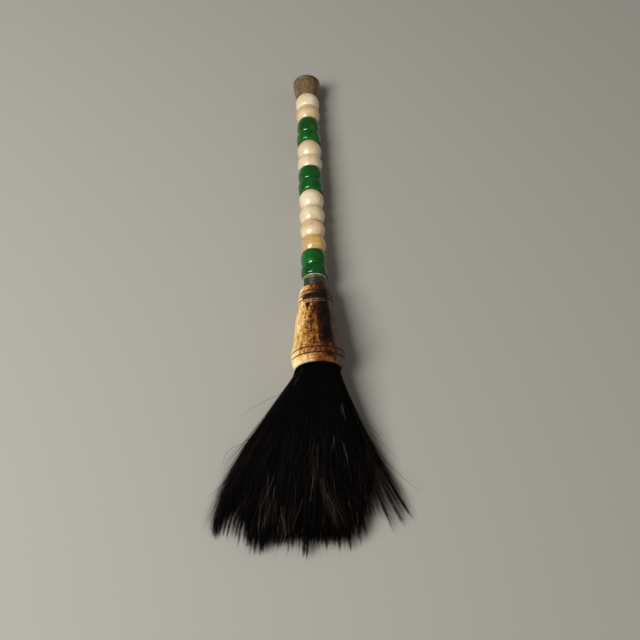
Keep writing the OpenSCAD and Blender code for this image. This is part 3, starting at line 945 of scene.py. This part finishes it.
# Sparse paler hairs that lie on top of the tuft, partly lighter hairs and partly painted highlights:
# short grey and brown strands where dark hairs catch the light. The middle of each patch across the fan
# and its half width, the shares of the length where it starts and ends, how far it slants, how many
# hairs, and their tone
WISPS_AND_GLINTS = (
    (0.11, 0.05, 0.62, 0.93, 0.8, 12, "grey"), (0.13, 0.08, 0.62, 0.94, 0.8, 60, "brown"),
    (-0.46, 0.07, 0.70, 0.88, 0.0, 24, "brown"), (-0.28, 0.12, 0.74, 0.95, 0.1, 8, "grey"),
    (-0.28, 0.14, 0.72, 0.95, 0.0, 30, "brown"), (-0.53, 0.06, 0.80, 0.95, 0.0, 4, "grey"),
    (0.01, 0.05, 0.44, 0.70, 0.1, 22, "red_brown"), (0.50, 0.03, 0.44, 0.60, 0.0, 3, "grey"),
    (0.36, 0.03, 0.40, 0.56, -0.2, 2, "grey"), (0.62, 0.03, 0.24, 0.36, 0.0, 3, "grey"),
    (-0.72, 0.04, 0.0, 0.16, 0.0, 3, "grey"), (0.42, 0.03, 0.74, 0.82, 0.0, 2, "grey"),
    (-0.1, 0.8, 0.55, 0.95, 0.0, 9, "grey"), (-0.1, 0.85, 0.35, 0.95, 0.0, 64, "brown"),
    (-0.1, 0.9, 0.05, 0.95, 0.0, 170, "warm_black"),
)


def make_wisps_and_glints(rng, looks):
    rows, tones = [], []
    for middle, half_width, start, end, slant, count, tone in WISPS_AND_GLINTS:
        u = middle + half_width * rng.uniform(-1, 1, (count, 1))
        share, longest = rng.uniform(0.3, 0.8, (count, 1)), rng.uniform(0.05, 0.2, (count, 1))
        length = np.minimum((end - start) * share, longest)
        first = start + (end - start - length) * rng.uniform(0, 1, (count, 1))
        along = length * STRAND_SHARE
        t = first + along
        path_u = u + slant * (t - start) + rng.normal(0, 0.32, (count, 1)) * along
        path_u = lean(path_u + waves(rng, along, 0.007, 15, 50), t)
        path = fan_point(path_u, rise(path_u), t)
        path[..., 2] += 0.1 + np.sin(STRAND_SHARE * math.pi) * rng.uniform(0.05, 0.5, (count, 1))
        rows.append(path)
        tones += [TONE_NUMBER[tone]] * count
    paths, tones = np.concatenate(rows), np.array(tones)
    strand_mesh("hair_wisps_and_glints", paths, rng.uniform(0.05, 0.085, len(paths)), tones, tones, looks)


def make_curls(rng, looks):
    """Fine curly hair ends on and beyond the last third of the tuft."""
    count = CURLS
    u = rng.uniform(-0.98, 0.7, (count, 1))
    length = rng.uniform(0.08, 0.26, (count, 1))
    shorter = np.abs(rng.normal(0, 0.09, (count, 1)))
    end = np.interp(u, *FRINGE) + 0.05 - shorter + rng.normal(0, 0.02, (count, 1))
    share = STRAND_SHARE
    t = end - length * (1 - share)
    along = length * share
    w = rise(u) * rng.uniform(-0.2, 1, (count, 1))
    path_u = u + rng.normal(0, 0.3, (count, 1)) * along + waves(rng, along, 0.012, 20, 70) * share
    path = fan_point(lean(path_u, t), w, t)
    path[..., 2] += rng.uniform(0, 0.8, (count, 1)) * share + waves(rng, along, 0.25, 20, 60) * share
    tones = pick_tones(rng, u, (("black", 0.7), ("warm_black", 0.14), ("brown", 0.12), ("grey", 0.04)))
    strand_mesh("hair_curls", path, rng.uniform(0.07, 0.12, count), tones, tones, looks)


def make_flyaways(rng, looks):
    """Fine hairs that stand off the tuft's skin, most of them along its edges and tips."""
    count = FLYAWAYS
    edge = rng.uniform(0, 1, count) < 0.62
    side = np.where(rng.uniform(0, 1, count) < 0.66, -1.0, 1.0)
    edge_u = side * (1 - 0.1 * rng.uniform(0, 1, count) ** 2)
    u = np.where(edge, edge_u, rng.uniform(-0.9, 0.9, count))[:, None]
    end = rng.uniform(0.45, 1.0, (count, 1))
    share = STRAND_SHARE
    t = end * share
    off = 0.055 * np.abs(rng.normal(0, 1, (count, 1))) * share**2 * np.sign(u)
    wave = rng.normal(0, 0.012, (count, 1)) * np.sin(share * rng.uniform(2, 8, (count, 1)))
    path = fan_point(u + off * edge[:, None] + wave * share, rise(u) * 0.9, t)
    path[..., 2] += share**2 * rng.uniform(0, 2.2, (count, 1))
    tones = pick_tones(rng, u, (("black", 0.5), ("warm_black", 0.3), ("brown", 0.2)))
    strand_mesh("hair_flyaways", path, rng.uniform(0.055, 0.085, count), tones, tones, looks)


# Single hairs that leave the tuft, as [reach, offset, height]
STRAYS = (
    ((-2, -8, 18), (5, -13, 15), (11.7, -19.3, 12), (14.2, -26, 10), (17.7, -33.2, 9), (22.7, -40.8, 8)),
    ((8, -15, 14), (22, -24, 11), (30.7, -31.2, 8), (35.6, -38.7, 7), (41.4, -45.1, 6), (46.3, -47.5, 5),
     (53, -46.4, 3)),
    ((8, -15.5, 13), (24, -26, 10), (33.7, -34.7, 8), (39.5, -42.1, 6), (43, -45, 5), (49, -46.6, 3)),
    ((10, -16, 12), (22, -24.8, 10), (34, -34, 7), (46, -43.5, 5), (60, -50.5, 4), (72, -55, 3)),
    ((8, 12, 14), (18, 16, 11), (25.3, 19.7, 9), (30.7, 27, 8), (34.4, 29.8, 7), (39, 32.3, 5),
     (41.6, 32.8, 4)),
    ((14, 14, 11), (30, 21, 8), (44, 29, 6), (56, 37, 4), (66, 46, 3)),
    ((20, -20, 12), (29, -30, 9), (35, -38, 7), (38, -44.5, 6), (41, -47.5, 5), (47, -49, 4), (52, -49, 3)),
    ((24, -22, 12), (32, -32, 9), (40, -40, 7), (50, -47, 5), (58, -50, 4)),
    ((30, -27, 11), (42, -38, 8), (56, -48, 5), (68, -53.5, 4), (76, -57, 2)),
    ((18, 15, 12), (28, 21, 9), (36, 29, 7), (42, 36, 5), (46, 38, 4)),
    ((28, 18, 10), (40, 27, 7), (52, 38, 5), (62, 49, 3)),
    ((20, -6, 16), (34, -9, 14), (48, -16, 10.5), (56, -10, 8.5), (61, -3, 7.8)),
)


def make_strays(looks):
    paths = []
    for points in STRAYS:
        curve = smooth_curve(points, 0.5)
        at = np.linspace(0, len(curve) - 1, 40)
        paths.append(np.column_stack([np.interp(at, np.arange(len(curve)), column) for column in curve.T]))
    tones = np.full(len(STRAYS), TONE_NUMBER["warm_black"])
    strand_mesh("hair_strays", np.array(paths), np.full(len(STRAYS), 0.1), tones, tones, looks)


def make_core():
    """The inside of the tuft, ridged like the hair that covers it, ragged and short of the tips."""
    columns, rows = 480, 80
    angle = np.arange(columns) * 2 * math.pi / columns
    ragged = np.array([noise.noise(Vector((a * 9, 7.7, 0))) for a in angle])
    ridge = np.array([noise.noise(Vector((a * 34, 3.1, 0))) for a in angle])
    end = 0.66 + 0.05 * ragged - 0.1 * np.abs(np.cos(angle)) ** 3
    t = from_root(end[:, None], np.linspace(0, 1, rows))
    u, w = np.cos(angle)[:, None] * 0.95, np.sin(angle)[:, None] * 0.93
    points = fan_point(lean(u, t), w, t)
    points[:, :, 2] -= (0.6 + 0.6 * ridge)[:, None] * np.clip(t, 0, None) * 1.4
    points = points.transpose(1, 0, 2).reshape(-1, 3)
    ends = [points[:columns].mean(axis=0), points[-columns:].mean(axis=0)]
    faces = [bands(rows, columns, False), *fans(rows, columns)]
    core = new_piece("hair_core", fan_to_row(np.vstack([points, ends])), faces, [core_look()])
    show(core, "brush", "black_hair", "hair_tuft")


def make_hair():
    looks = hair_looks()
    rng = np.random.default_rng(11)
    locks = make_locks(rng)
    make_core()
    for batch in range(1, LOCK_BATCHES + 1):
        lock_hair(rng, locks, HAIRS_PER_BATCH, f"hair_locks_{batch}", looks)
    make_points(rng, looks)
    make_wisps_and_glints(rng, looks)
    make_curls(rng, looks)
    make_flyaways(rng, looks)
    make_strays(looks)


# ---- camera, floor and light


def make_camera():
    data = bpy.data.cameras.new("camera")
    data.lens = 38.25
    camera = bpy.data.objects.new("camera", data)
    camera.location = (-0.0156, -0.1651, 0.3428)
    camera.rotation_euler = [math.radians(a) for a in (23.37, -2.74, -2.21)]
    bpy.context.scene.collection.objects.link(camera)
    bpy.context.scene.camera = camera


def make_floor():
    half = 3.0
    mesh = bpy.data.meshes.new("floor")
    corners = [(-half, -half, 0), (half, -half, 0), (half, half, 0), (-half, half, 0)]
    mesh.from_pydata(corners, [], [(0, 1, 2, 3)])
    floor = bpy.data.objects.new("floor", mesh)
    look = Look("floor", 0.8)
    look.set("Base Color", srgb(163, 161, 154))
    mesh.materials.append(look.material)
    bpy.context.scene.collection.objects.link(floor)


def add_area_light(name, direction, distance, size, power, colour, mirrored=True):
    """A light aimed at the origin. Its first size runs level, its second one up and down."""
    data = bpy.data.lights.new(name, "AREA")
    data.shape = "RECTANGLE"
    data.size, data.size_y = size
    data.energy = power
    data.color = colour
    light = bpy.data.objects.new(name, data)
    place = Vector(direction).normalized() * distance
    light.location = place
    light.rotation_euler = (-place).to_track_quat("-Z", "Y").to_euler()
    light.visible_glossy = mirrored
    bpy.context.scene.collection.objects.link(light)


def make_light():
    add_area_light("window", (-0.6, -0.26, 0.78), 1.1, (0.4, 0.62), 13.9, (1.0, 0.985, 0.95))
    add_area_light("bounce", (0.85, 0.1, 0.5), 1.3, (1.2, 0.8), 2.3, (1.0, 0.95, 0.88), mirrored=False)
    world = bpy.data.worlds.new("room")
    world.use_nodes = True
    background = world.node_tree.nodes["Background"]
    background.inputs["Color"].default_value = srgb(222, 218, 210)
    background.inputs["Strength"].default_value = 0.15
    bpy.context.scene.world = world
    bpy.context.scene.view_settings.view_transform = "Standard"


# ---- all together

make_camera()
make_floor()
make_light()
make_beads()
make_ferrule()
make_collar()
make_rim()
make_cap()
make_hair()
for node, make_look in (("core_rod", bamboo_look), ("root_resin", resin_look), ("root_binding", thread_look)):
    frame["nodes"][node].material_slots[0].material = make_look()
